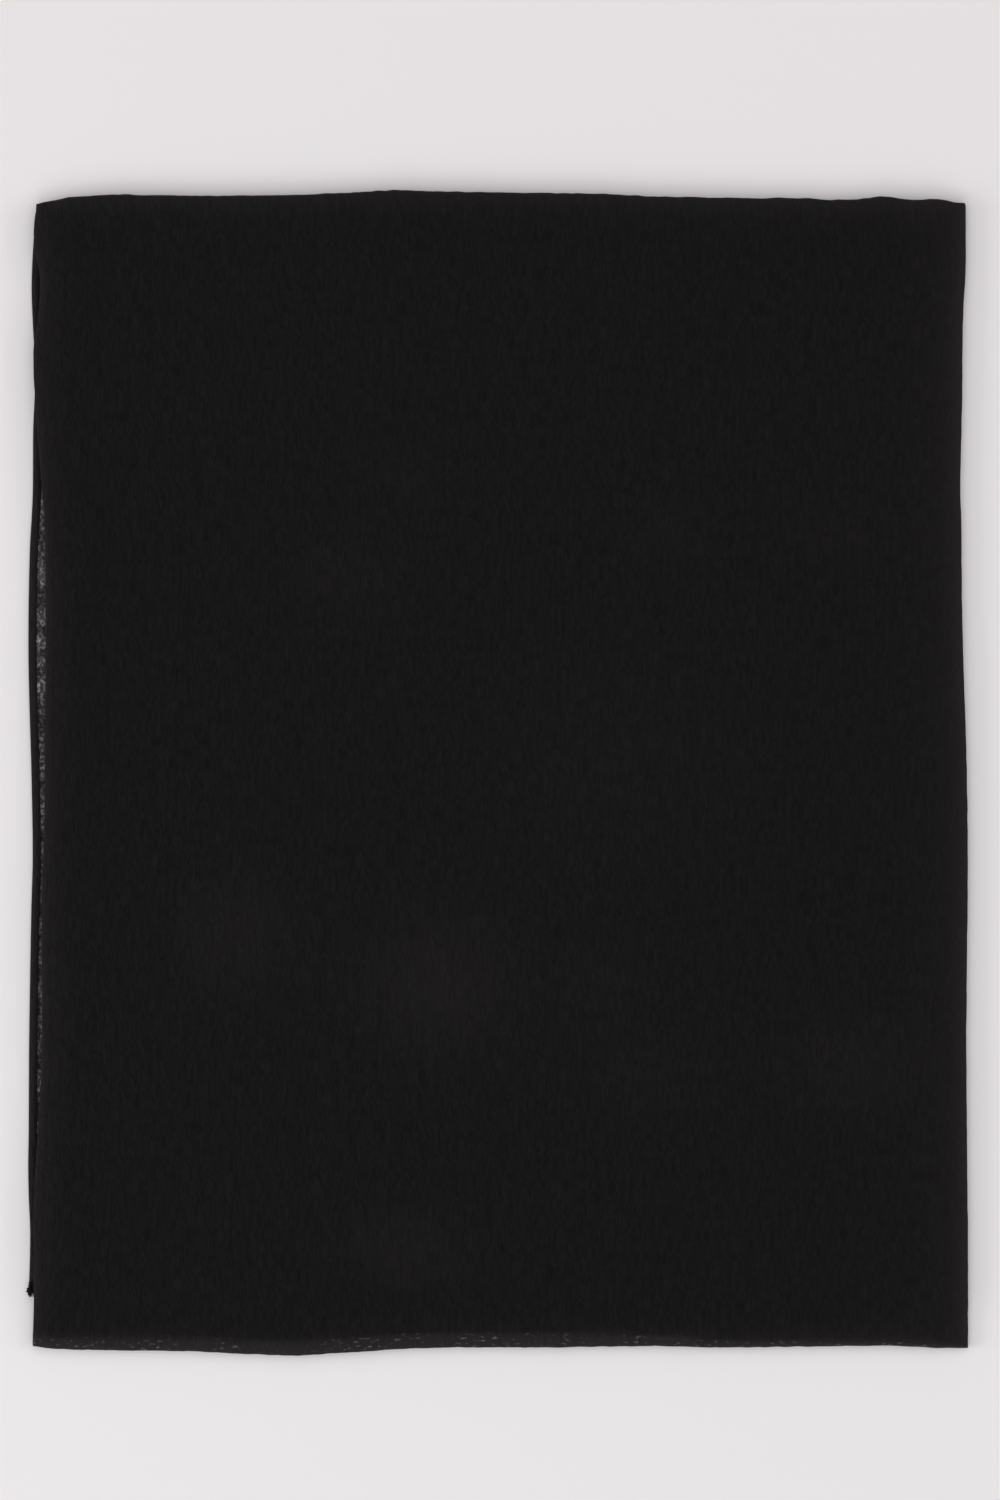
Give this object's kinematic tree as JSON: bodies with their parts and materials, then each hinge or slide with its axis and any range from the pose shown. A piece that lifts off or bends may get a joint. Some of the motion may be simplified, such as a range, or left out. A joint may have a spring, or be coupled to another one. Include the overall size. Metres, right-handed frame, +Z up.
{
  "type": "folded shawl",
  "caption": "Light crinkled shawl folded flat into a neat rectangular packet, with rolled hems on its open side.",
  "frame": {"origin": "middle of the packet's outline, on the surface it lies on", "axes": "+Z up out of the packet, +Y along its long side towards the fold of all plies, +X across it towards the fold of its middle; -Y is the front fold and -X the hemmed edges"},
  "size_m": [0.3766, 0.4664, 0.0072],
  "materials": {
    "crinkle_crepe": "matt black crinkle crepe, fine lengthwise crinkles, slightly sheer as a single ply",
    "hem": "narrow rolled hem of the same cloth, matt and denser"
  },
  "bodies": {
    "root": {"upper_sheet": "crinkle_crepe", "middle_layers": "crinkle_crepe", "lower_sheet": "crinkle_crepe", "upper_hem": "hem", "lower_hem": "hem", "hem_corner": "hem"}
  },
  "joints": []
}
